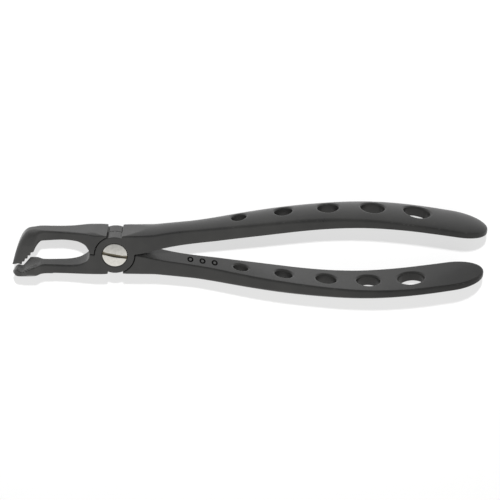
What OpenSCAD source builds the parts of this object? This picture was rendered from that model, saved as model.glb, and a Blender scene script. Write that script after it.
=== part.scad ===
// Dental extraction forceps for lower molars, closed.
// The pivot axis is +Z and z = 0 is the joint's back face.
// +X runs along the handles, -X along the beaks, +Y towards the front lever's handle.

/* [Joint] */
// thickness of the closed box joint, both layers together (mm)
joint_thickness = 11; // [10:0.1:12]
// radius of each lever's round joint plate (mm)
plate_radius = 7.2; // [7:0.05:7.4]
// gap between a joint plate and the socket that turns around it (mm)
socket_gap = 0.35; // [0.25:0.05:0.5]
// gap between the two layers of the joint (mm)
layer_gap = 0.06; // [0.03:0.01:0.15]
// distance from the pivot axis to the outer edge of the neck shoulders (mm)
neck_shoulder = 7.65; // [7.5:0.05:7.9]
// distance from the pivot axis to the outer edge of the handle shoulders (mm)
handle_shoulder = 7.5; // [7.4:0.05:7.9]
// width of the stop notch between the shoulders (mm)
notch_width = 5.5; // [5.3:0.1:7]
// gap between the levers where they meet when closed (mm)
closing_gap = 0.3; // [0.2:0.05:0.5]

/* [Screw] */
// radius of the screw head (mm)
head_radius = 4.6; // [4.2:0.1:4.9]
// depth of the head below the joint's front face (mm)
head_depth = 1.8; // [1.4:0.1:2.2]
// height of the domed top above the joint's front face (mm)
dome_rise = 0.4; // [0.2:0.05:0.6]
// radius of the smooth shank that carries the front lever (mm)
shank_radius = 2.6; // [2.2:0.1:3]
// radius of the threaded end, as a plain cylinder (mm)
thread_radius = 2.3; // [1.9:0.1:2.5]
// running clearance around the head and the shank (mm)
running_clearance = 0.05; // [0.03:0.01:0.09]
// width of the driver slot (mm)
slot_width = 0.9; // [0.7:0.1:1.2]
// depth of the driver slot below the rim of the head (mm)
slot_depth = 0.8; // [0.6:0.1:1.1]
// angle of the driver slot from the handle direction (degrees)
slot_angle = -11; // [-90:1:90]

/* [Handles] */
// distance from the pivot axis to the end of the handles (mm)
handle_reach = 137.1; // [125:0.1:145]
// spread of the handles as a share of the normal one
handle_spread = 1; // [0.9:0.01:1.1]
// length of the rounded end of each handle (mm)
end_length = 12.8; // [10:0.1:15]
// rise of the crowned outer face over its edges (mm)
crown_rise = 1.36; // [1:0.02:1.5]
// radius of the handle's inner edges (mm)
inner_edge_radius = 1; // [0.5:0.05:1.2]

/* [Handle holes] */
// number of round holes in each handle
hole_count = 5; // [3:1:5]
// distance from the pivot axis to the first hole (mm)
first_hole = 45.7; // [42:0.1:50]
// distance from one hole to the next (mm)
hole_pitch = 16.1; // [14:0.1:16.4]
// diameter of the first hole (mm)
first_hole_diameter = 5.4; // [4.6:0.1:6]
// diameter of the last hole (mm)
last_hole_diameter = 9.8; // [8.6:0.1:10.4]
// width of the bevel around each hole (mm)
hole_bevel = 0.4; // [0.2:0.05:0.5]

/* [Size marks] */
// radius of the three small dimples on the back lever's inner face (mm)
mark_radius = 0.8; // [0.6:0.1:1]
// depth of the dimples (mm)
mark_depth = 0.3; // [0.2:0.05:0.5]

/* [Necks and window] */
// distance from the pivot axis to the near end of the window (mm)
window_start = 9.3; // [9:0.1:9.8]
// distance from the middle plane to the neck's inner face (mm)
window_half = 5.2; // [5.1:0.05:5.4]

/* [Beaks] */
// radius of the near beak's rounded back (mm)
beak_back_radius = 6.5; // [6:0.1:8]
// depth of the scooped gripping faces (mm)
scoop_depth = 1.1; // [0.8:0.1:1.4]
// radius of the scoop across the far beak (mm)
far_scoop_radius = 6.4; // [6:0.1:7.5]
// radius of the scoop across the near beak (mm)
near_scoop_radius = 11; // [9:0.5:14]
// number of notches in the far beak's gripping edges, the near beak has one less
teeth = 4; // [3:1:5]
// distance from one notch to the next (mm)
tooth_pitch = 1.75; // [1.5:0.05:1.9]
// depth of the notches (mm)
tooth_depth = 0.65; // [0.4:0.05:0.8]

/* [Hidden] */
steel = [0.2, 0.2, 0.21];
bright = [0.78, 0.77, 0.74];
layer = joint_thickness / 2;
socket_radius = plate_radius + socket_gap;
half_notch = notch_width / 2;
half_gap = closing_gap / 2;
joint_end = 14.3;
facet_end = 11;
root_crest = 8.9;
neck_crest = 8.8;
shape_end = handle_reach - end_length;
seat = joint_thickness - head_depth;

// Handle stations: share of the length, outer crest, inner face, width,
// share of the full crown, radius of the outer edges.
STATIONS = [
  [0.105, 8.95, 1.40, 10.80, 1.00, 0.45],
  [0.145, 9.38, 2.60, 9.75, 0.93, 0.60],
  [0.193, 10.10, 3.68, 9.20, 0.72, 0.80],
  [0.241, 10.70, 4.60, 9.40, 0.66, 1.05],
  [0.298, 11.60, 5.70, 10.25, 0.68, 1.30],
  [0.354, 12.82, 6.95, 11.70, 0.74, 1.65],
  [0.418, 14.20, 8.30, 13.15, 0.82, 2.00],
  [0.483, 15.40, 9.55, 14.00, 0.90, 2.30],
  [0.611, 17.00, 11.60, 15.50, 0.96, 2.25],
  [0.740, 17.30, 12.50, 17.30, 0.96, 2.00],
  [0.869, 15.95, 11.65, 18.80, 0.92, 1.75],
  [1.000, 13.40, 9.45, 19.00, 0.88, 1.60]
];
LAST = len(STATIONS) - 1;

function span_of(s, i = 1) = (i >= LAST || s <= STATIONS[i][0]) ? i : span_of(s, i + 1);
function rise(i, c) =
  let (a = max(i - 1, 0), b = min(i + 1, LAST))
  (STATIONS[b][c] - STATIONS[a][c]) / (STATIONS[b][0] - STATIONS[a][0]);
// smooth curve through the stations of column c at share s
function curve(s, c) =
  let (i = span_of(s), a = STATIONS[i - 1], b = STATIONS[i])
  let (h = b[0] - a[0], t = (s - a[0]) / h)
  (1 + 2 * t) * pow(1 - t, 2) * a[c] + t * pow(1 - t, 2) * h * rise(i - 1, c)
  + t * t * (3 - 2 * t) * b[c] - t * t * (1 - t) * h * rise(i, c);
function outer_y(x) = handle_spread * curve(x / shape_end, 1);
function inner_y(x) = handle_spread * curve(x / shape_end, 2);
function width_z(x) = curve(x / shape_end, 3);
function crown_at(x) = crown_rise * curve(x / shape_end, 4);
function outer_radius(x) = curve(x / shape_end, 5);
function middle_y(x) = (outer_y(x) + inner_y(x)) / 2;

// Right half of a section: crowned outer face, two rounded edges, flat inner face,
// as pairs of y and distance from the middle plane.
function half_section(top, low, b, crown, r_out, r_in) = concat(
  [for (u = [0.15, 0.45, 0.75])
    let (z = u * (b - r_out)) [top - crown * pow(z / b, 2), z]],
  [for (turn = [62, 32, 4])
    [top - crown * pow((b - r_out) / b, 2) - r_out * (1 - sin(turn)), b - r_out * (1 - cos(turn))]],
  [for (turn = [4, 45, 88])
    [low + r_in * (1 - sin(turn)), b - r_in * (1 - cos(turn))]],
  [[low, 0.4 * b]]
);
// One ring of points around the handle at distance x.
function ring(x, half) = concat(
  [for (p = half) [x, p[0], layer + p[1]]],
  [for (k = [len(half) - 1:-1:0]) [x, half[k][0], layer - half[k][1]]]
);
function handle_ring(x) =
  let (inner_radius = inner_edge_radius * min(1, 0.25 + x / 80))
  ring(x, half_section(outer_y(x), inner_y(x), width_z(x) / 2, crown_at(x),
    outer_radius(x), inner_radius));
// the rounded end closes along a quarter ellipse and bends inwards a little
end_sink = 2;
function end_ring(t) =
  let (b = width_z(shape_end) / 2 * cos(t), thin = 0.45 + 0.55 * cos(t))
  let (crest_drop = end_sink * sin(t) + crown_at(shape_end) * pow(sin(t), 2))
  ring(shape_end + end_length * sin(t),
    half_section(outer_y(shape_end) - crest_drop, inner_y(shape_end) - end_sink * sin(t), b,
      crown_at(shape_end) * pow(cos(t), 2), min(outer_radius(shape_end) * thin, b * 0.9),
      min(inner_edge_radius * thin, b * 0.9)));

HANDLE_RINGS = concat(
  [for (i = [0:31]) handle_ring(joint_end - 1.1 + (shape_end - joint_end + 1.1) * i / 31)],
  [for (t = [15, 30, 44, 56, 66, 75, 82]) end_ring(t)]
);
RING = len(HANDLE_RINGS[0]);

// Solid skin over a list of rings that all have RING points.
module skin(rings) {
  count = len(rings);
  points = [for (r = rings, p = r) p];
  sides = [
    for (i = [0:count - 2], k = [0:RING - 1])
      let (a = i * RING + k, b = i * RING + (k + 1) % RING)
      each [[b, a, a + RING], [b + RING, b, a + RING]]
  ];
  first = [for (k = [0:RING - 1]) k];
  last = [for (k = [RING - 1:-1:0]) (count - 1) * RING + k];
  polyhedron(points, concat([first], sides, [last]));
}

// Inner edge of a neck along the window, a quarter ellipse.
function window_curve(steps) = [
  for (i = [0:steps])
    let (t = 90 - 88 * i / steps)
    [-20 + (20 - window_start) * cos(t), -window_half * sin(t)]
];

// Half widths of the neck at distances from the pivot axis.
NECK_WIDTH = [
  [-2, layer], [-7.7, layer], [-8.8, 5.1], [-10.2, 4.65], [-12.5, 4.1], [-15.5, 3.5],
  [-18.7, 3.1], [-22, 2.85], [-25, 2.7], [-27, 2.7]
];

module width_band(points) {
  mirrored = [for (i = [len(points) - 1:-1:0]) [points[i][0], layer - points[i][1]]];
  upper = [for (p = points) [p[0], layer + p[1]]];
  translate([0, 30, 0])
    rotate([90, 0, 0])
      linear_extrude(60)
        polygon(concat(upper, mirrored));
}

module tall(from = -3, to = 20) {
  translate([0, 0, from])
    linear_extrude(to - from)
      children();
}

// Crowned outer face that root and neck share near the joint: crest height, edge height.
module crowned_band(crest, edge) {
  rotate([90, 0, 90])
    linear_extrude(60, center = true)
      polygon(concat(
        [[-1, joint_thickness + 1], [-1, -1], [edge - 0.3, -1]],
        [for (i = [-8:8]) [crest - (crest - edge) * pow(i / 8, 2), layer + layer * i / 8]],
        [[edge - 0.3, joint_thickness + 1]]
      ));
}

// Handle root of a lever between the joint plate and the handle.
module handle_root() {
  intersection() {
    linear_extrude(joint_thickness)
      polygon([
        [half_notch, half_gap], [7.9, half_gap], [joint_end, inner_y(joint_end)],
        [joint_end, root_crest], [facet_end, root_crest], [half_notch, handle_shoulder]
      ]);
    crowned_band(root_crest, handle_shoulder - 0.1);
  }
}

// Neck of a lever, from the joint to the beak.
module neck() {
  intersection() {
    tall()
      polygon(concat(
        [[-half_notch, -half_gap], [-window_start, -half_gap]],
        [for (i = [14:-1:0]) window_curve(14)[i]],
        [[-27, -window_half], [-27, -neck_crest], [-facet_end - 1, -neck_crest],
         [-half_notch, -neck_shoulder]]
      ));
    width_band(NECK_WIDTH);
    mirror([0, 1, 0])
      crowned_band(neck_crest, neck_shoulder - 0.1);
  }
}

// Steel of one lever without its beak: plate in the front layer, handle up, neck down.
module lever_body() {
  difference() {
    union() {
      handle_root();
      neck();
      skin(HANDLE_RINGS);
    }
    translate([0, 0, -1])
      cylinder(h = layer + layer_gap / 2 + 1, r = socket_radius, $fn = 96);
  }
  translate([0, 0, layer + layer_gap / 2])
    cylinder(h = layer - layer_gap / 2, r = plate_radius, $fn = 96);
}

// Distance from the pivot axis to hole i and its diameter.
function hole_x(i) = first_hole + hole_pitch * i;
function hole_d(i) =
  first_hole_diameter + (last_hole_diameter - first_hole_diameter) * i / (hole_count - 1);

// One bevelled hole square to the handle at distance x.
module handle_hole(x, d) {
  lean = atan((middle_y(x + 1) - middle_y(x - 1)) / 2);
  reach = (outer_y(x) - inner_y(x)) / 2 * cos(lean);
  translate([x, middle_y(x), layer])
    rotate([0, 0, lean])
      rotate([90, 0, 0])
        union() {
          cylinder(h = 20, r = d / 2, center = true, $fn = 64);
          for (side = [0, 1])
            mirror([0, 0, side])
              translate([0, 0, reach - hole_bevel])
                cylinder(h = 2, r1 = d / 2, r2 = d / 2 + 2, $fn = 64);
        }
}

module handle_holes() {
  for (i = [0:hole_count - 1])
    handle_hole(hole_x(i), hole_d(i));
}

// Scoop along a gripping face: start point, direction in degrees, length, open side.
module scoop(x, y, turn, length, side, radius) {
  lift = radius - scoop_depth;
  run_in = 4;
  translate([x, y, layer])
    rotate([0, 0, turn])
      translate([-run_in, side * lift, 0])
        rotate([0, 90, 0])
          union() {
            cylinder(h = run_in, r1 = lift - 1, r2 = radius, $fn = 96);
            translate([0, 0, run_in])
              cylinder(h = length, r = radius, $fn = 96);
          }
}

// Row of V notches across a gripping edge: first notch, direction in degrees, how many,
// and how far they are set off towards the front.
module notches(x, y, turn, count, set_off) {
  side = tooth_depth * sqrt(2);
  translate([x, y, layer + set_off])
    rotate([0, 0, turn])
      for (i = [0:count - 1])
        translate([i * tooth_pitch, 0, 0])
          rotate([0, 0, 45])
            cube([side, side, 14], center = true);
}

// Short spoon-shaped beak that carries straight on from the front lever's neck.
// Only its front rim is toothed.
module near_beak() {
  difference() {
    intersection() {
      tall()
        polygon([
          [-26.5, -5.2], [-29.0, -5.45], [-32.3, -5.9], [-33.5, -7.0], [-34.7, -8.2],
          [-35.4, -8.0], [-36.1, -7.6], [-36.8, -7.6], [-37.6, -8.2], [-38.3, -9.3],
          [-37.8, -10.0], [-36.8, -10.4], [-35.3, -10.6], [-33.5, -10.4], [-31.5, -10.0],
          [-30.0, -9.6], [-28.5, -9.0], [-26.5, -8.8]
        ]);
      width_band([
        [-26, 2.7], [-27.4, 3.0], [-28.4, 3.9], [-29.4, 4.8], [-30.6, 5.2], [-32.2, 5.1],
        [-33.3, 4.3], [-34.6, 3.3], [-36.0, 2.7], [-37.2, 1.9], [-38.4, 0.4]
      ]);
      translate([-45, beak_back_radius - 10.7, layer])
        rotate([0, 90, 0])
          cylinder(h = 25, r = beak_back_radius, $fn = 96);
    }
    scoop(-29.4, -5.7, 180 + 21, 5.6, -1, near_scoop_radius);
    notches(-31.2, -6.9, 180 + 30, teeth - 1, 9.5);
  }
}

// Long beak that turns down past the end of the front lever.
module far_beak() {
  difference() {
    intersection() {
      tall()
        polygon([
          [-26.5, 8.6], [-29, 8.6], [-31.4, 8.3], [-32.8, 7.4], [-33.9, 5.9], [-34.8, 4.2],
          [-35.8, 1.9], [-36.6, -0.3], [-37.3, -2.7], [-37.9, -5.0], [-36.6, -4.75],
          [-35.7, -4.5], [-34.5, -4.9], [-32.5, -2.5], [-30.7, -0.4], [-29.4, 0.5],
          [-28.7, 1.7], [-28.3, 2.8], [-27.8, 3.9], [-27.1, 4.7], [-26.2, 5.1]
        ]);
      width_band([
        [-26, 2.7], [-26.8, 2.9], [-27.8, 3.6], [-28.8, 4.4], [-29.8, 4.7], [-33, 4.7],
        [-35, 4.6], [-38.4, 4.4]
      ]);
      translate([-50, 0, 0])
        rotate([90, 0, 90])
          linear_extrude(40)
            polygon([
              [9, layer - 2.7], [7, layer - 3.2], [4, layer - 4.7], [0, layer - 4.7],
              [-3, layer - 4.2], [-5.2, layer - 2.9], [-5.2, layer + 2.9], [-3, layer + 4.2],
              [0, layer + 4.7], [4, layer + 4.7], [7, layer + 3.2], [9, layer + 2.7]
            ]);
    }
    scoop(-29.4, -0.2, 180 + 48, 12, 1, far_scoop_radius);
    notches(-30.2, -0.1, 180 + 48, teeth, 0);
  }
}

module front_lever() {
  color(steel)
    difference() {
      union() {
        lever_body();
        near_beak();
      }
      handle_holes();
      translate([0, 0, -1])
        cylinder(h = joint_thickness + 2, r = shank_radius + running_clearance, $fn = 64);
      translate([0, 0, seat - running_clearance])
        cylinder(h = head_depth + 1, r = head_radius + running_clearance, $fn = 96);
    }
}

module back_lever() {
  color(steel)
    difference() {
      union() {
        translate([0, 0, joint_thickness])
          rotate([180, 0, 0])
            lever_body();
        far_beak();
      }
      mirror([0, 1, 0])
        handle_holes();
      translate([0, 0, -1])
        cylinder(h = layer + 2, r = thread_radius - 0.1, $fn = 64);
      for (i = [0:2])
        size_mark(28.4 + 4.7 * i);
    }
}

// One round dimple in the inner face of the back lever's handle.
module size_mark(x) {
  lean = atan((inner_y(x + 1) - inner_y(x - 1)) / 2);
  translate([x, -inner_y(x), layer])
    rotate([0, 0, -lean])
      rotate([90, 0, 0])
        cylinder(h = 2 * mark_depth, r = mark_radius, center = true, $fn = 32);
}

module pivot_screw() {
  rim_rise = 0.05;
  dome = dome_rise - rim_rise;
  dome_radius = (head_radius * head_radius + dome * dome) / (2 * dome);
  color(bright)
    difference() {
      union() {
        intersection() {
          translate([0, 0, seat])
            cylinder(h = head_depth + dome_rise, r = head_radius, $fn = 96);
          translate([0, 0, joint_thickness + dome_rise - dome_radius])
            sphere(r = dome_radius, $fn = 160);
        }
        translate([0, 0, layer + layer_gap / 2])
          cylinder(h = seat - layer, r = shank_radius, $fn = 64);
        cylinder(h = layer + 0.5, r = thread_radius, $fn = 64);
      }
      translate([0, 0, joint_thickness + rim_rise - slot_depth + 2])
        rotate([0, 0, slot_angle])
          cube([12, slot_width, 4], center = true);
    }
}

front_lever();
back_lever();
pivot_screw();
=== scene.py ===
"""Dental extraction forceps: refined steel halves, slotted screw, finishes, stage, light and camera.

The halves and the screw are signed distance fields in millimetres, sampled on a grid, skinned with quads
and handed to Blender in metres. In a half's own frame x runs along the handles, v points from the joint
to the handle's side and z is measured from the joint's middle plane towards that half's joint plate. The
back half is the front one's frame turned over about X.
"""
import math

import bpy
import numpy as np
from mathutils import Matrix, Vector


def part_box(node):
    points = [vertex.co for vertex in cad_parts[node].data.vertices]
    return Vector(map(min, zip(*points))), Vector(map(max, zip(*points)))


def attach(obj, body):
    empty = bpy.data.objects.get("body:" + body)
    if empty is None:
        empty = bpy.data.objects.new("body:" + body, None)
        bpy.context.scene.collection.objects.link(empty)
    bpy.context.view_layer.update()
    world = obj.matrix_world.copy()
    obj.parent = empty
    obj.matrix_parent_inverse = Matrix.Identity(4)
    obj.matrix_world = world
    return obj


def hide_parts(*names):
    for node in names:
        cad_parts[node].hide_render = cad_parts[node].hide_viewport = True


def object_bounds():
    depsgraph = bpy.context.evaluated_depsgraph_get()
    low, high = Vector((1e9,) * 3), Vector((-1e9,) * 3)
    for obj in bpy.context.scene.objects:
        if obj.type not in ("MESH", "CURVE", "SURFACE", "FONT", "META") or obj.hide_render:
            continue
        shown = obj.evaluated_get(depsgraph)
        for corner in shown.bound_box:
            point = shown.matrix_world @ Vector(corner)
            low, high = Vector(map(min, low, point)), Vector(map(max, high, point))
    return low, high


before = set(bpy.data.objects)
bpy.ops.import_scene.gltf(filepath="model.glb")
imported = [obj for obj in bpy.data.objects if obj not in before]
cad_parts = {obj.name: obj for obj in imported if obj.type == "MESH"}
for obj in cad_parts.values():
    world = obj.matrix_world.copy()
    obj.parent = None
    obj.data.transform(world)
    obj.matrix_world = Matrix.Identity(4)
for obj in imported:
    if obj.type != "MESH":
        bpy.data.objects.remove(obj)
cad_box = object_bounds()

MM = 0.001

# joint
LAYER = round((cad_box[0][2] + cad_box[1][2]) / 2 / MM, 2)   # height of its middle plane
LAYER_GAP = 0.03       # from the middle plane to each joint plate
PLATE_R = 7.2
SOCKET_R = 7.55        # where the other half's plate turns
NOTCH = 2.75           # half width of the stop notches
CLOSING = 0.15         # half gap between the closed necks
FACET_RISE = 0.15      # slope of the flat facets on the shoulders
FACET_END = 16         # how far from the joint they can reach
ROOT_FACET, NECK_FACET = 7.5, 7.62   # their height at the stop notches

# screw and the holes that it sits in
HEAD_R = round(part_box("pivot_screw")[1].x / MM, 2)
HEAD_Z = 9.2           # underside of the head
HEAD_TOP = 11.42
HEAD_DOME_R = 21.0
SHANK_R = 2.6
SHANK_Z = (5.53, 9.6)
THREAD_R = 2.3
THREAD_Z = (0.0, 6.0)
BORE_R = 2.65
SEAT_PLAY = 0.13       # around the head
SEAT_Z = 3.65          # floor of the seat, from the middle plane
SLOT_TURN = math.radians(-11)
SLOT_FLOOR = 10.7
SLOT_HALF = 0.20       # half width at the rim
SLOT_BULGE = 0.40      # added to it in the middle, as a round cutter leaves it

# handles
SHAPE_END = 124.3      # where the rounded end begins
END_LENGTH = 12.4
END_SINK = 2.0         # how far the end bends inwards
DOME_SPREAD = 0.075    # extra width of the dome at the root, which leaves its flat sides taller
HOLE_X = [45.7 + 16.1 * i for i in range(5)]
HOLE_R = [2.7 + 0.55 * i for i in range(5)]
HOLE_EDGE = 0.75       # radius of their rolled edges
HOLE_REACH = 5         # how far from a hole the field is changed

# x, outer crest y, inner y, width, height of the flat edge, inner edge radius
X_AT, CREST, INNER, WIDTH, EDGE_HEIGHT, INNER_RADIUS = range(6)
STATIONS = np.array([
    [2.75, 8.60, 0.15, 11.02, 6.65, 0.15],
    [6.80, 8.62, 0.15, 11.02, 6.65, 0.18],
    [9.50, 8.72, 0.50, 11.00, 6.30, 0.20],
    [14.3, 8.98, 1.60, 10.60, 5.40, 0.30],
    [18.0, 9.40, 2.50, 9.95, 5.20, 0.40],
    [24.0, 10.12, 3.60, 9.45, 4.92, 0.50],
    [30.0, 10.82, 4.52, 9.70, 4.60, 0.60],
    [37.0, 11.92, 5.61, 10.80, 4.40, 0.70],
    [44.0, 13.12, 6.87, 12.20, 4.10, 0.75],
    [52.0, 14.43, 8.25, 13.70, 3.75, 0.80],
    [60.0, 15.61, 9.51, 14.60, 3.50, 0.80],
    [68.0, 16.55, 10.67, 15.20, 3.20, 0.80],
    [76.0, 17.22, 11.62, 15.90, 2.88, 0.80],
    [84.0, 17.55, 12.28, 16.80, 2.65, 0.80],
    [92.0, 17.50, 12.54, 17.80, 2.40, 0.80],
    [100.0, 17.02, 12.32, 18.80, 2.15, 0.80],
    [108.0, 16.10, 11.68, 19.40, 2.00, 0.80],
    [116.0, 14.92, 10.68, 19.70, 1.92, 0.80],
    [124.3, 13.50, 9.45, 19.55, 1.85, 0.75],
])


# ---------------------------------------------------------------- curves and distance fields

def hermite(xs, ys, x):
    """Smooth curve through the points, tangents from the neighbours."""
    xs, ys, x = np.asarray(xs, float), np.asarray(ys, float), np.asarray(x, float)
    slope = np.gradient(ys, xs)
    slope[1:-1] = (ys[2:] - ys[:-2]) / (xs[2:] - xs[:-2])
    i = np.clip(np.searchsorted(xs, x) - 1, 0, len(xs) - 2)
    h = xs[i + 1] - xs[i]
    t = np.clip((x - xs[i]) / h, 0, 1)
    return ((1 + 2 * t) * (1 - t) ** 2 * ys[i] + t * (1 - t) ** 2 * h * slope[i]
            + t * t * (3 - 2 * t) * ys[i + 1] - t * t * (1 - t) * h * slope[i + 1])


def station(x, column):
    return hermite(STATIONS[:, X_AT], STATIONS[:, column], np.clip(x, STATIONS[0, X_AT], SHAPE_END))


def outer_y(x):
    return station(x, CREST)


def inner_y(x):
    return station(x, INNER)


def middle_y(x):
    return (outer_y(x) + inner_y(x)) / 2


def smoothstep(a, b, x):
    """0 at a and beyond, 1 at b and beyond, in either direction."""
    t = np.clip((x - a) / (b - a), 0, 1)
    return t * t * (3 - 2 * t)


def spline_points(points, steps=6):
    """Open Catmull-Rom curve through the points."""
    p = np.asarray(points, float)
    p = np.vstack([2 * p[0] - p[1], p, 2 * p[-1] - p[-2]])
    out = []
    for i in range(1, len(p) - 2):
        for k in range(steps):
            t = k / steps
            out.append(0.5 * (2 * p[i] + (p[i + 1] - p[i - 1]) * t
                              + (2 * p[i - 1] - 5 * p[i] + 4 * p[i + 1] - p[i + 2]) * t * t
                              + (3 * p[i] - p[i - 1] - 3 * p[i + 1] + p[i + 2]) * t ** 3))
    out.append(p[-2])
    return np.array(out)


def polygon_distance(u, v, points):
    """Signed distance to a closed polygon on a 2-D grid, negative inside."""
    p = np.asarray(points, float)
    best = np.full(u.shape, 1e9)
    inside = np.zeros(u.shape, bool)
    for (ax, ay), (bx, by) in zip(p, np.roll(p, -1, axis=0)):
        ex, ey = bx - ax, by - ay
        length2 = ex * ex + ey * ey
        if length2 < 1e-12:
            continue
        wx, wy = u - ax, v - ay
        t = np.clip((wx * ex + wy * ey) / length2, 0, 1)
        np.minimum(best, (wx - t * ex) ** 2 + (wy - t * ey) ** 2, out=best)
        if ay != by:
            crosses = ((ay > v) != (by > v)) & (u < ex * (v - ay) / (by - ay) + ax)
            inside ^= crosses
    best = np.sqrt(best)
    return np.where(inside, -best, best)


def line_distance(u, v, points):
    """Distance to an open line."""
    p = np.asarray(points, float)
    best = np.full(u.shape, 1e9)
    for (ax, ay), (bx, by) in zip(p[:-1], p[1:]):
        ex, ey = bx - ax, by - ay
        wx, wy = u - ax, v - ay
        t = np.clip((wx * ex + wy * ey) / (ex * ex + ey * ey), 0, 1)
        np.minimum(best, (wx - t * ex) ** 2 + (wy - t * ey) ** 2, out=best)
    return np.sqrt(best)


def both(a, b, r):
    """Intersection of two fields with an edge of radius r."""
    return (np.minimum(np.maximum(a, b), -r)
            + np.hypot(np.maximum(a + r, 0), np.maximum(b + r, 0)))


def cut(field, tool, r):
    """The field without the tool, with an edge of radius r."""
    return both(field, -tool, r)


def skin(field, axes):
    """Quads on the zero surface of a field: one point per mixed cell, at the mean of its edge crossings."""
    inside = field < 0
    nx, ny, nz = field.shape
    total = np.zeros((nx - 1, ny - 1, nz - 1, 3), np.float32)
    count = np.zeros((nx - 1, ny - 1, nz - 1), np.float32)
    quads = []
    for axis in range(3):
        a = np.moveaxis(field, axis, 0)
        s = np.moveaxis(inside, axis, 0)
        cross = s[1:] != s[:-1]
        t = np.where(cross, a[:-1] / np.where(cross, a[:-1] - a[1:], 1), 0)
        p, q = [k for k in range(3) if k != axis]
        for dp in (0, 1):
            for dq in (0, 1):
                # the four cells around an edge along this axis
                part = cross[:, 1 - dp:cross.shape[1] - dp, 1 - dq:cross.shape[2] - dq]
                offset = t[:, 1 - dp:cross.shape[1] - dp, 1 - dq:cross.shape[2] - dq]
                part = np.moveaxis(part, 0, axis)
                offset = np.moveaxis(offset, 0, axis)
                count += part
                total[..., axis] += offset
                total[..., p] += part * (1 - dp)
                total[..., q] += part * (1 - dq)
    mixed = count > 0
    number = np.full(mixed.shape, -1, np.int32)
    number[mixed] = np.arange(mixed.sum())
    cells = np.argwhere(mixed)
    local = total[mixed] / count[mixed][:, None]
    at = cells + local
    points = np.stack([
        np.interp(at[:, k], np.arange(len(axes[k])), axes[k]) for k in range(3)
    ], axis=1)
    for axis in range(3):
        s = np.moveaxis(inside, axis, 0)
        p, q = [k for k in range(3) if k != axis]
        cross = (s[1:] != s[:-1])[:, 1:-1, 1:-1]
        i, j, k = np.nonzero(cross)
        entering = s[:-1][:, 1:-1, 1:-1][i, j, k]
        corner = []
        for dp, dq in ((0, 0), (1, 0), (1, 1), (0, 1)):
            index = [None] * 3
            index[axis], index[p], index[q] = i, j + dp, k + dq
            corner.append(number[tuple(index)])
        quad = np.stack(corner, axis=1)
        flip = entering if axis != 1 else ~entering
        quad[~flip] = quad[~flip][:, ::-1]
        quads.append(quad)
    return points, np.vstack(quads)


def make_piece(name, points, quads):
    mesh = bpy.data.meshes.new(name)
    mesh.vertices.add(len(points))
    mesh.vertices.foreach_set("co", (np.asarray(points) * MM).astype(np.float32).ravel())
    mesh.loops.add(quads.size)
    mesh.loops.foreach_set("vertex_index", quads.astype(np.int32).ravel())
    mesh.polygons.add(len(quads))
    mesh.polygons.foreach_set("loop_start", np.arange(0, quads.size, 4, dtype=np.int32))
    mesh.polygons.foreach_set("loop_total", np.full(len(quads), 4, np.int32))
    mesh.update(calc_edges=True)
    mesh.validate()
    mesh.polygons.foreach_set("use_smooth", np.ones(len(mesh.polygons), bool))
    mesh.update()
    piece = bpy.data.objects.new(name, mesh)
    bpy.context.scene.collection.objects.link(piece)
    return piece


# ---------------------------------------------------------------- the two steel halves

BEAK_START = -25

# half widths: x, half width
NECK_WIDTH = np.array([
    [-40, 2.75], [-27, 2.75], [-25, 2.75], [-22, 2.88], [-18.7, 3.12], [-15.5, 3.55], [-12.5, 4.15],
    [-10.2, 4.7], [-8.8, 5.1], [-7.7, 5.35], [-6.5, 5.5], [0, 5.5]
])
FAR_BEAK_WIDTH = np.array([
    [-40, 4.4], [-35, 4.6], [-33, 4.7], [-30.2, 4.7], [-29.2, 4.45], [-28.2, 3.8], [-27.2, 3.1],
    [-26.2, 2.8], [-25, 2.75]
])
NEAR_BEAK_WIDTH = np.array([
    [-40, 0.1], [-38.4, 0.6], [-37.2, 2.0], [-36.0, 2.8], [-34.6, 3.4], [-33.3, 4.4], [-32.2, 5.15],
    [-30.8, 5.3], [-29.6, 5.0], [-28.6, 4.2], [-27.6, 3.3], [-26.4, 2.85], [-25, 2.75]
])
# y, half width of the turned-down part of the far beak
FAR_TIP_WIDTH = np.array([[-5.2, 3.4], [-3, 4.3], [0, 4.75], [3, 4.7], [6, 3.9], [9, 2.8]])

# inner edges of the necks along the window, distance from the joint and from the mid line
NEAR_WINDOW = [[-9.3, 0.15], [-9.45, 1.4], [-10, 2.45], [-10.8, 3.3], [-12.2, 4.1], [-13.7, 4.68],
               [-16, 5.08], [-18, 5.2], [-20, 5.22], [-24, 5.2]]
FAR_WINDOW = [[-9.3, 0.15], [-9.45, 1.3], [-10, 2.35], [-10.8, 3.4], [-12.2, 4.15], [-13.7, 4.6],
              [-16, 4.8], [-18, 4.86], [-20, 4.82], [-24, 4.5]]

# rims of the gripping faces, x and y
NEAR_RIM = [[-29.0, -5.35], [-32.3, -5.9], [-34.7, -8.2], [-36.8, -7.6]]
FAR_RIM = [[-28.2, 2.6], [-29.4, 0.45], [-34.5, -4.9], [-37.6, -5.0]]
RIM_REACH = 2.2        # edges are crisp at the rim and soft this far from it

NEAR_TEETH = dict(start=(-31.5, -5.95), turn=213, count=3, depth=0.5, pitch=1.35)
NEAR_TEETH_Z = 1.5     # they are on the front rim only, above this height
FAR_TEETH = dict(start=(-30.2, -0.1), turn=228, count=4, depth=0.92, pitch=1.75)
NEAR_SCOOP = dict(start=(-28.9, -4.25), turn=206, length=6.2, side=-1, depth=1.55, radius=9.0, abrupt=3.0)
FAR_SCOOP = dict(start=(-29.4, -0.2), turn=228, length=12, side=1, depth=1.1, radius=6.4, abrupt=1.0)

CROWN_TOP = 9.0        # crest of the necks' outer faces
CROWN_FALL = 1.3       # how much lower they are at the flat faces
BARREL_Y, BARREL_R = -4.2, 6.5   # round back of the near beak


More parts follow.
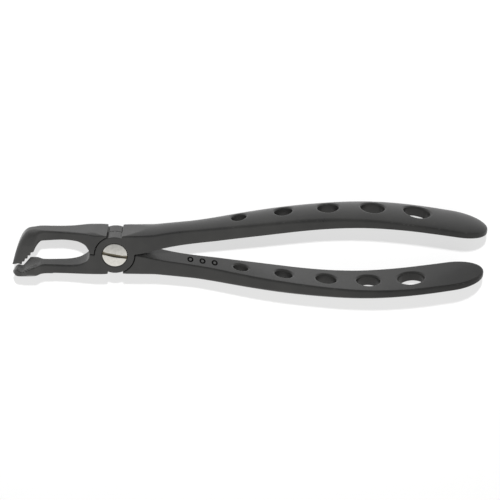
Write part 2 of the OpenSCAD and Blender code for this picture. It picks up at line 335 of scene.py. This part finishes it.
def near_outline():
    """Neck and short beak of the front half, below the window."""
    window = spline_points(NEAR_WINDOW) * [1, -1]
    top = [[-26.5, -5.2], [-28.5, -5.5], [-30.0, -5.75], [-31.2, -5.8], [-32.3, -5.8], [-33.5, -6.9]]
    tip = [[-34.7, -8.2], [-35.4, -8.0], [-36.1, -7.6], [-36.8, -7.6], [-37.6, -8.2],
           [-38.25, -9.3], [-37.8, -10.0], [-36.8, -10.45], [-35.3, -10.65], [-33.5, -10.5],
           [-31.5, -10.1], [-30.0, -9.7], [-28.5, -9.2], [-26.5, -9.05]]
    back = spline_points([[-26.5, -9.05], [-24, -9.0], [-19, -9.0], [-13, -9.0], [-8, -8.95],
                          [-NOTCH, -8.9]])
    return np.vstack([[[-NOTCH, -CLOSING]], window, top, spline_points(tip), back[1:]])


def far_outline():
    """Neck and long beak of the back half, above the window."""
    inner = spline_points(FAR_WINDOW + [
        [-26.4, 4.25], [-27.4, 3.85], [-28.2, 3.2], [-28.8, 2.4], [-29.3, 1.4], [-29.75, 0.4],
        [-30.1, 0.0]])
    tip = [[-34.5, -4.9], [-35.1, -4.6], [-35.8, -4.45], [-36.5, -4.65], [-37.1, -4.75], [-37.8, -4.9]]
    back = spline_points([[-37.8, -4.9], [-37.2, -2.7], [-36.5, -0.3], [-35.7, 1.9], [-34.7, 4.2],
                          [-33.7, 5.9], [-32.5, 7.3], [-31.2, 8.05], [-29, 8.4], [-26.5, 8.45],
                          [-24, 8.35], [-19, 8.2], [-13, 8.15], [-8, 8.35], [-NOTCH, 8.9]])
    return np.vstack([[[-NOTCH, CLOSING]], inner, tip, back])


def turned(u, v, start, turn):
    """Coordinates along and across a line from start, turned so many degrees from +x."""
    c, s = math.cos(math.radians(turn)), math.sin(math.radians(turn))
    return (u - start[0]) * c + (v - start[1]) * s, -(u - start[0]) * s + (v - start[1]) * c


def row_of_notches(u, v, start, turn, count, depth, pitch):
    """Distance, in side view, to a row of V notches."""
    along, off = turned(u, v, start, turn)
    nearest = np.clip(np.round(along / pitch), 0, count - 1) * pitch
    return (np.abs(along - nearest) + np.abs(off)) / math.sqrt(2) - depth / math.sqrt(2)


def trough(u, v, z, start, turn, length, side, depth, radius, abrupt):
    """Distance to the round tool that scoops a gripping face. It ends sooner the more abrupt it is."""
    along, off = turned(u, v, start, turn)
    lift = side * (radius - depth)
    short = np.minimum(along, 0) * 1.3 * abrupt
    past = np.maximum(along - length, 0) * abrupt
    plan = (off - lift) ** 2 + short ** 2 + past ** 2
    return np.sqrt(plan[:, :, None] + z[None, None, :] ** 2) - radius


def shoulder_facet(u, height, start):
    """Distance past the flat facet across a shoulder, which rises away from the joint."""
    past = (height - start - FACET_RISE * (np.abs(u) - NOTCH)) / math.hypot(1, FACET_RISE)
    return np.where(np.abs(u) > FACET_END, -5, past)[:, :, None]


def handle_field(x, u, v, z):
    """Handle and root: an elliptical outer dome over flat sides, closing in an ellipse at the end."""
    past = np.clip((x - SHAPE_END) / END_LENGTH, 0, None)
    dip = END_SINK * np.clip(past, 0, 1)
    inner = inner_y(x) - dip
    edge_top = inner + station(x, EDGE_HEIGHT)
    rise = outer_y(x) - dip - edge_top
    half_w = station(x, WIDTH) / 2
    dome_w = half_w * (1 + DOME_SPREAD - DOME_SPREAD * smoothstep(8, 22, x))
    over = np.maximum(v - edge_top[:, None], 0) / rise[:, None]
    across = z[None, :] / dome_w[:, None]
    size2 = over[:, :, None] ** 2 + across[:, None, :] ** 2 + (past ** 2)[:, None, None]
    steep2 = ((over / rise[:, None])[:, :, None] ** 2 + (across / dome_w[:, None])[:, None, :] ** 2
              + ((past / END_LENGTH) ** 2)[:, None, None])
    size = np.sqrt(size2)
    # the ellipsoid's level divided by its slope is close to a distance
    dome = (size - 1) * size / np.sqrt(np.maximum(steep2, 1e-6))
    sides = (np.abs(z)[None, :] - half_w[:, None])[:, None, :]
    below = (inner[:, None] - v) / np.hypot(1, np.gradient(inner, x))[:, None]
    handle = both(dome, np.broadcast_to(sides, dome.shape), r=0.25)
    handle = both(handle, below[:, :, None], r=station(x, INNER_RADIUS)[:, None, None])
    handle = both(handle, shoulder_facet(u, v, ROOT_FACET), r=0.1)
    return both(handle, (NOTCH - u)[:, :, None], r=0.12)


def smaller(a, b, sharpness=4):
    """The smaller of two values, rounded where they cross."""
    return -np.log(np.exp(-sharpness * a) + np.exp(-sharpness * b)) / sharpness


def neck_half_width(x, side_y, back):
    """Half width of the neck and beak at each point of the side view."""
    beak = FAR_BEAK_WIDTH if back else NEAR_BEAK_WIDTH
    along = np.where(x < BEAK_START, hermite(beak[:, 0], beak[:, 1], x),
                     hermite(NECK_WIDTH[:, 0], NECK_WIDTH[:, 1], x))
    half_width = np.repeat(along[:, None], side_y.shape[1], axis=1)
    if not back:
        return half_width
    limit = np.interp(side_y, FAR_TIP_WIDTH[:, 0], FAR_TIP_WIDTH[:, 1])
    blend = smoothstep(BEAK_START, -29, x)[:, None]
    return half_width * (1 - blend) + smaller(half_width, limit) * blend


def neck_field(x, y, u, v, z, back):
    """Neck and beak: the side view cut to its width and crowned, with the scoop and the teeth."""
    side_y = -v if back else v
    outline = far_outline() if back else near_outline()
    half_width = neck_half_width(x, side_y, back)
    slope = np.hypot(*np.gradient(half_width, x, y))
    sides = ((np.abs(z)[None, None, :] - half_width[:, :, None])
             / np.sqrt(1 + slope ** 2)[:, :, None])
    edge = 0.2 + 0.5 * smoothstep(-6, -16, x)
    if back:
        # the elbow is round
        edge = edge + 1.3 * smoothstep(BEAK_START, -30, x)
    rim = line_distance(u, side_y, FAR_RIM if back else NEAR_RIM)
    edge = edge[:, None] * np.clip(rim / RIM_REACH, 0.2, 1)
    neck = both(polygon_distance(u, side_y, outline)[:, :, None], sides, r=edge[:, :, None])

    # the outer face is crowned up to the beak
    crown = CROWN_TOP - CROWN_FALL * (np.abs(z) / LAYER) ** 2
    fade = 3 * np.clip((-23 - x) / 3, 0, 1)
    neck = both(neck, (-v)[:, :, None] - crown[None, None, :] - fade[:, None, None], r=0.25)
    neck = both(neck, shoulder_facet(u, -v, NECK_FACET), r=0.1)

    notches = row_of_notches(u, side_y, **(FAR_TEETH if back else NEAR_TEETH))[:, :, None]
    scoop = trough(u, side_y, z, **(FAR_SCOOP if back else NEAR_SCOOP))
    if not back:
        # the near beak's teeth are on its front rim, and its back is round
        notches = np.maximum(notches, (NEAR_TEETH_Z - z)[None, None, :])
        barrel = np.hypot((v - BARREL_Y)[:, :, None], z[None, None, :]) - BARREL_R
        barrel = barrel - 3 * np.clip((x + 28) / 4, 0, 1)[:, None, None]
        neck = both(neck, barrel, r=0.4)
    neck = cut(neck, scoop, r=0.12)
    return cut(neck, np.broadcast_to(notches, neck.shape), r=0.1)


def drill_handle(field, x, own_y, z):
    """Round holes through the handle, square to its middle line."""
    for hole_x, hole_r in zip(HOLE_X, HOLE_R):
        hole_y = float(middle_y(hole_x))
        lean = math.atan(float(middle_y(hole_x + 1) - middle_y(hole_x - 1)) / 2)
        near = np.abs(x - hole_x) < hole_r + HOLE_REACH
        along = ((x[near][:, None] - hole_x) * math.cos(lean)
                 + (own_y[None, :] - hole_y) * math.sin(lean))
        tool = np.sqrt(along[:, :, None] ** 2 + z[None, None, :] ** 2) - hole_r
        field[near] = cut(field[near], tool, r=HOLE_EDGE)


def half_field(axes, back):
    """Distance field of one half."""
    x, y, z = axes
    flip = -1.0 if back else 1.0
    u, v = np.meshgrid(x, flip * y, indexing="ij")
    own_z = flip * z
    field = np.minimum(handle_field(x, u, v, own_z), neck_field(x, y, u, v, own_z, back))

    # joint: a socket for the other half's plate, and this half's own plate
    radius = np.hypot(u, v)[:, :, None]
    level = own_z[None, None, :]
    field = cut(field, np.maximum(radius - SOCKET_R, level - LAYER_GAP), r=0.12)
    faces = np.abs(level - (LAYER + LAYER_GAP) / 2) - (LAYER - LAYER_GAP) / 2
    plate = both(radius - PLATE_R, faces, r=0.16)
    field = np.minimum(field, plate)

    # screw hole
    if back:
        field = cut(field, np.broadcast_to(radius - THREAD_R, field.shape), r=0.15)
    else:
        field = cut(field, np.broadcast_to(radius - BORE_R, field.shape), r=0.1)
        field = cut(field, both(radius - (HEAD_R + SEAT_PLAY), SEAT_Z - level, r=0.05), r=0.18)

    drill_handle(field, x, flip * y, own_z)
    return field


def uneven(lo, mid, hi, fine, coarse):
    """Grid that is fine from lo to mid and widens to coarse by hi."""
    out = list(np.arange(lo, mid, fine))
    step = fine
    while out[-1] < hi:
        step = min(coarse, step * 1.02)
        out.append(out[-1] + step)
    return np.array(out)


FINE, COARSE = ((0.17, 0.33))
GRID_X = (-39.2, 16.0, 138.0)          # start, end of the fine part, end
GRID_Y = {"front": (-11.6, 18.2), "back": (-18.2, 9.9)}
GRID_Z = (-10.2, 10.3)
GRID_SHIFT_Y, GRID_SHIFT_Z = 0.013, 0.017   # these keep the grid off the flat faces


def make_half(name, back):
    step = FINE * 1.15
    axes = [uneven(*GRID_X, FINE, COARSE),
            np.arange(*GRID_Y["back" if back else "front"], step) + GRID_SHIFT_Y,
            np.arange(*GRID_Z, step) + GRID_SHIFT_Z]
    points, quads = skin(half_field(axes, back).astype(np.float32), axes)
    points[:, 2] += LAYER
    return make_piece(name, points, quads)


front_half = make_half("front_half_steel", False)
back_half = make_half("back_half_steel", True)


# ---------------------------------------------------------------- the slotted screw

def rod(radius, h, r, ends, edge):
    return both(radius - r, np.maximum(ends[0] - h, h - ends[1]), r=edge)


def make_screw():
    """Domed head with a slot, smooth shank and threaded end. Heights are from the joint's back."""
    step = 0.085
    x = np.arange(-5.0, 5.05, step) + 0.011
    axes = [x, x.copy(), np.arange(-0.3, 11.9, step) + 0.013]
    u, v = np.meshgrid(x, x, indexing="ij")
    radius = np.hypot(u, v)[:, :, None]
    h = axes[2][None, None, :]
    dome = np.sqrt(radius ** 2 + (h - (HEAD_TOP - HEAD_DOME_R)) ** 2) - HEAD_DOME_R
    head = both(both(radius - HEAD_R, HEAD_Z - h, r=0.1), dome, r=0.22)
    shank = rod(radius, h, SHANK_R, SHANK_Z, 0.1)
    thread = rod(radius, h, THREAD_R, THREAD_Z, 0.35)
    field = np.minimum(np.minimum(head, shank), thread)
    off = np.abs(-u * math.sin(SLOT_TURN) + v * math.cos(SLOT_TURN))[:, :, None]
    along = (u * math.cos(SLOT_TURN) + v * math.sin(SLOT_TURN))[:, :, None]
    half = SLOT_HALF + SLOT_BULGE * np.maximum(1 - (along / HEAD_R) ** 2, 0)
    field = cut(field, np.maximum(off - half, SLOT_FLOOR - h), r=0.05)
    points, quads = skin(field.astype(np.float32), axes)
    return make_piece("pivot_screw_bright", points, quads)


screw = make_screw()


# ---------------------------------------------------------------- materials

def new_material(name):
    mat = bpy.data.materials.new(name)
    mat.use_nodes = True
    tree = mat.node_tree
    shader = tree.nodes["Principled BSDF"]
    return mat, tree, shader


def node(tree, kind, inputs=None, **settings):
    made = tree.nodes.new(kind)
    for key, value in settings.items():
        setattr(made, key, value)
    for key, value in (inputs or {}).items():
        if isinstance(value, bpy.types.NodeSocket):
            tree.links.new(value, made.inputs[key])
        else:
            made.inputs[key].default_value = value
    return made


def maths(tree, operation, *values):
    return node(tree, "ShaderNodeMath", dict(enumerate(values)), operation=operation).outputs[0]


def noise(tree, coords, scale, detail=2.0):
    return node(tree, "ShaderNodeTexNoise",
                {"Vector": coords, "Scale": scale, "Detail": detail}).outputs["Fac"]


def remap(tree, value, lo, hi, to_lo=0.0, to_hi=1.0):
    """Value between lo and hi brought to the range to_lo to to_hi, and held outside it."""
    return node(tree, "ShaderNodeMapRange", {"Value": value, "From Min": lo, "From Max": hi,
                                             "To Min": to_lo, "To Max": to_hi}).outputs[0]


def mix(tree, factor, a, b):
    return node(tree, "ShaderNodeMix", {"Factor": factor, "A": a, "B": b},
                data_type="RGBA").outputs["Result"]


def bump(tree, shader, height, strength, distance):
    made = node(tree, "ShaderNodeBump", {"Height": height, "Strength": strength, "Distance": distance})
    tree.links.new(made.outputs["Normal"], shader.inputs["Normal"])


def ramp(tree, fac, stops):
    made = node(tree, "ShaderNodeValToRGB", {"Fac": fac})
    items = made.color_ramp.elements
    while len(items) < len(stops):
        items.new(0.5)
    for item, (place, colour) in zip(items, stops):
        item.position = place
        item.color = (*colour, 1) if len(colour) == 3 else colour
    return made.outputs["Color"]


def grey(value):
    return (value, value, value)


COAT_DARK, COAT_LIGHT = (0.0115, 0.0115, 0.0115), (0.0185, 0.0183, 0.0175)
COAT_WORN = (0.030, 0.030, 0.029, 1)
MARK_COLOUR = (0.002, 0.002, 0.002, 1)
BEAK_WEAR = 0.45
# Painted shade: the coat's reflection strength is set along object x and is weakest at the handle ends,
# darkening them as dimmer surroundings would.
PAINTED_FADE_FROM, PAINTED_FADE_TO = -0.04, 0.14   # object x, in metres
PAINTED_REFLECTION_FADE = [(0.0, 0.42), (0.10, 0.50), (0.25, 0.54), (0.33, 0.47), (0.56, 0.40), (0.78, 0.28), (0.97, 0.15)]

# three size rings on the inner face of the back half, in mm
RING_X, RING_PITCH = 27.5, 4.5
RING_R, RING_LINE = 0.85, 0.28
RING_SQUEEZE = 0.5     # they are twice as tall as wide
RING_Y, RING_Y_REACH = -5.0, 2.2


def size_rings(tree, part):
    """1 on the lines of the rings, 0 elsewhere."""
    tall = maths(tree, "MULTIPLY", part.outputs["Z"], RING_SQUEEZE)
    flat = node(tree, "ShaderNodeCombineXYZ", {"X": part.outputs["X"], "Y": tall}).outputs[0]
    mark = 0.0
    for i in range(3):
        centre = ((RING_X + RING_PITCH * i) * MM, LAYER * RING_SQUEEZE * MM, 0)
        far = node(tree, "ShaderNodeVectorMath", {0: flat, 1: centre},
                   operation="DISTANCE").outputs["Value"]
        mark = maths(tree, "ADD", mark, maths(tree, "COMPARE", far, RING_R * MM, RING_LINE * MM))
    facing = maths(tree, "COMPARE", part.outputs["Y"], RING_Y * MM, RING_Y_REACH * MM)
    return maths(tree, "MULTIPLY", mark, facing)


def coated_steel():
    """Dark satin coat: mottled, worn at edges and on the beaks, with painted shade that weakens its
    reflections towards the handle ends.
    """
    mat, tree, shader = new_material("coated_steel_finish")
    coords = node(tree, "ShaderNodeTexCoord").outputs["Object"]
    part = node(tree, "ShaderNodeSeparateXYZ", {"Vector": coords})
    grain = noise(tree, coords, 2600.0, 3.0)
    mottle = noise(tree, coords, 190.0, 4.0)
    cloud = noise(tree, coords, 38.0)
    tone = maths(tree, "MULTIPLY", maths(tree, "ADD", mottle, cloud), 0.5)
    base = ramp(tree, tone, [(0.32, COAT_DARK), (0.68, COAT_LIGHT)])

    convex = node(tree, "ShaderNodeNewGeometry").outputs["Pointiness"]
    edges = maths(tree, "MULTIPLY", ramp(tree, convex, [(0.53, grey(0)), (0.62, grey(1))]), mottle)
    beaks = remap(tree, part.outputs["X"], -0.020, -0.030, to_hi=BEAK_WEAR)
    worn = mix(tree, maths(tree, "MAXIMUM", edges, beaks), base, COAT_WORN)
    mark = size_rings(tree, part)
    tree.links.new(mix(tree, mark, worn, MARK_COLOUR), shader.inputs["Base Color"])

    # painted shade: reflection strength weakens along the handles towards their ends
    place = remap(tree, part.outputs["X"], PAINTED_FADE_FROM, PAINTED_FADE_TO)
    painted_reflection = ramp(tree, place, [(at, grey(value)) for at, value in PAINTED_REFLECTION_FADE])
    painted_reflection = maths(tree, "MULTIPLY", painted_reflection, maths(tree, "SUBTRACT", 1.0, mark))
    tree.links.new(painted_reflection, shader.inputs["Specular IOR Level"])
    rough = ramp(tree, mottle, [(0.25, grey(0.27)), (0.75, grey(0.36))])
    tree.links.new(rough, shader.inputs["Roughness"])
    shader.inputs["IOR"].default_value = 1.5
    bump(tree, shader, maths(tree, "SUBTRACT", grain, mark), 0.15, 0.00005)
    return mat


STEEL_DARK, STEEL_LIGHT = (0.70, 0.69, 0.65), (0.83, 0.82, 0.78)
GRIME = (0.20, 0.18, 0.135, 1)
GRIME_HALF = 0.00072   # half width of the grime along the slot, in metres
TURNING_RATE = 26000.0  # turning marks, in radians per metre


def bright_steel():
    """Turned steel with fine circular marks, and grime in the slot."""
    mat, tree, shader = new_material("bright_steel_finish")
    coords = node(tree, "ShaderNodeTexCoord").outputs["Object"]
    part = node(tree, "ShaderNodeSeparateXYZ", {"Vector": coords})
    spots = noise(tree, coords, 900.0, 4.0)
    flat = node(tree, "ShaderNodeCombineXYZ",
                {"X": part.outputs["X"], "Y": part.outputs["Y"]}).outputs[0]
    base = ramp(tree, spots, [(0.3, STEEL_DARK), (0.7, STEEL_LIGHT)])

    across = (-math.sin(SLOT_TURN), math.cos(SLOT_TURN), 0)
    off = node(tree, "ShaderNodeVectorMath", {0: flat, 1: across},
               operation="DOT_PRODUCT").outputs["Value"]
    inside = maths(tree, "LESS_THAN", maths(tree, "ABSOLUTE", off), GRIME_HALF)
    deep = remap(tree, part.outputs["Z"], 0.0110, 0.01128, 1.0, 0.0)
    tree.links.new(mix(tree, maths(tree, "MULTIPLY", inside, deep), base, GRIME),
                   shader.inputs["Base Color"])

    rough = ramp(tree, spots, [(0.3, grey(0.30)), (0.7, grey(0.42))])
    tree.links.new(rough, shader.inputs["Roughness"])
    shader.inputs["Metallic"].default_value = 1.0
    far = node(tree, "ShaderNodeVectorMath", {0: flat}, operation="LENGTH").outputs["Value"]
    marks = maths(tree, "SINE", maths(tree, "MULTIPLY", far, TURNING_RATE))
    bump(tree, shader, maths(tree, "ADD", marks, spots), 0.25, 0.00001)
    return mat


FLOOR_GLOW = 0.63


def paper_floor():
    """White sheet lit evenly from below, so that only the key light's shadow shows on it."""
    mat, tree, shader = new_material("floor_finish")
    coords = node(tree, "ShaderNodeTexCoord").outputs["Object"]
    base = ramp(tree, noise(tree, coords, 30.0), [(0.0, grey(0.245)), (1.0, grey(0.255))])
    tree.links.new(base, shader.inputs["Base Color"])
    shader.inputs["Roughness"].default_value = 1.0
    shader.inputs["Specular IOR Level"].default_value = 0.0
    shader.inputs["Emission Color"].default_value = (1, 1, 1, 1)
    shader.inputs["Emission Strength"].default_value = FLOOR_GLOW
    return mat


steel = coated_steel()
for piece in (front_half, back_half):
    piece.data.materials.append(steel)
screw.data.materials.append(bright_steel())

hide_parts("front_lever")
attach(front_half, "front_half")
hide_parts("back_lever")
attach(back_half, "back_half")
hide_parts("pivot_screw")
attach(screw, "back_half")


# ---------------------------------------------------------------- stage, light, camera

LIT_AT = Vector((0.05, 0, 0))                   # middle of the forceps
FLOOR_Z = round(cad_box[0][2], 4) - 0.0005      # a little under the lowest point
FLOOR_HALF = 3.0


def make_floor():
    mesh = bpy.data.meshes.new("floor")
    corners = [(x * FLOOR_HALF, y * FLOOR_HALF, 0) for x, y in ((-1, -1), (1, -1), (1, 1), (-1, 1))]
    mesh.from_pydata(corners, [], [(0, 1, 2, 3)])
    floor = bpy.data.objects.new("floor", mesh)
    floor.location = (LIT_AT.x, 0, FLOOR_Z)
    floor.data.materials.append(paper_floor())
    bpy.context.scene.collection.objects.link(floor)
    return floor


make_floor()


def aim(obj, place, target, up=None):
    """Puts a lamp or camera at place, looking at target, with its top towards up."""
    obj.location = place
    back = (Vector(place) - Vector(target)).normalized()
    if up is None:
        obj.rotation_euler = (-back).to_track_quat("-Z", "Y").to_euler()
        return
    side = Vector(up).cross(back).normalized()
    obj.rotation_euler = Matrix((side, back.cross(side), back)).transposed().to_euler()


KEY_WAY = Vector((-0.015, 0.60, 0.80)).normalized()
KEY_DISTANCE, KEY_SIZE, KEY_WATTS = 0.6, 0.022, 5.9


def make_key():
    """Small lamp behind the forceps, for the shadow in front of them. It shows in no reflection."""
    data = bpy.data.lights.new("key", "AREA")
    data.shape = "DISK"
    data.size = KEY_SIZE
    data.energy = KEY_WATTS
    lamp = bpy.data.objects.new("key", data)
    bpy.context.scene.collection.objects.link(lamp)
    aim(lamp, LIT_AT + KEY_WAY * KEY_DISTANCE, LIT_AT)
    lamp.visible_glossy = False


make_key()

LOOKOUT = Vector((0.0, 0.72, 0.69)).normalized()   # darkest part of the studio, up and behind
SHADES = [(0.20, (0.95, 0.94, 0.92)), (0.45, (0.66, 0.66, 0.655)), (0.80, (0.34, 0.342, 0.35)),
          (0.97, (0.10, 0.10, 0.10))]


def make_studio():
    """Pale all round and dark towards the lookout, which the front faces reflect."""
    world = bpy.data.worlds.new("studio")
    bpy.context.scene.world = world
    world.use_nodes = True
    tree = world.node_tree
    heading = node(tree, "ShaderNodeTexCoord").outputs["Generated"]
    toward = node(tree, "ShaderNodeVectorMath", {0: heading, 1: tuple(LOOKOUT)},
                  operation="DOT_PRODUCT").outputs["Value"]
    background = tree.nodes["Background"]
    tree.links.new(ramp(tree, toward, SHADES), background.inputs["Color"])
    background.inputs["Strength"].default_value = 1.0


make_studio()

TILT, YAW, ROLL = math.radians(25.376), math.radians(-1.3335), math.radians(0.85)
TARGET = Vector((49.53, -0.22, LAYER)) * MM
DISTANCE = 521.18 * MM
SENSOR = 36.0          # mm
LENS = 101.575         # mm, for that sensor


def make_camera():
    data = bpy.data.cameras.new("camera")
    camera = bpy.data.objects.new("camera", data)
    bpy.context.scene.collection.objects.link(camera)
    bpy.context.scene.camera = camera
    back = Vector((math.sin(YAW), math.sin(TILT) * math.cos(YAW), math.cos(TILT) * math.cos(YAW)))
    right = (-back).cross(Vector((0, 1, 0))).normalized()
    up = right.cross(-back)
    aim(camera, TARGET + back * DISTANCE, TARGET, -math.sin(ROLL) * right + math.cos(ROLL) * up)
    data.sensor_width = SENSOR
    data.lens = LENS
    data.clip_start = 0.01
    data.clip_end = 20.0


make_camera()

bpy.context.scene.view_settings.view_transform = "Standard"
bpy.context.scene.view_settings.look = "None"
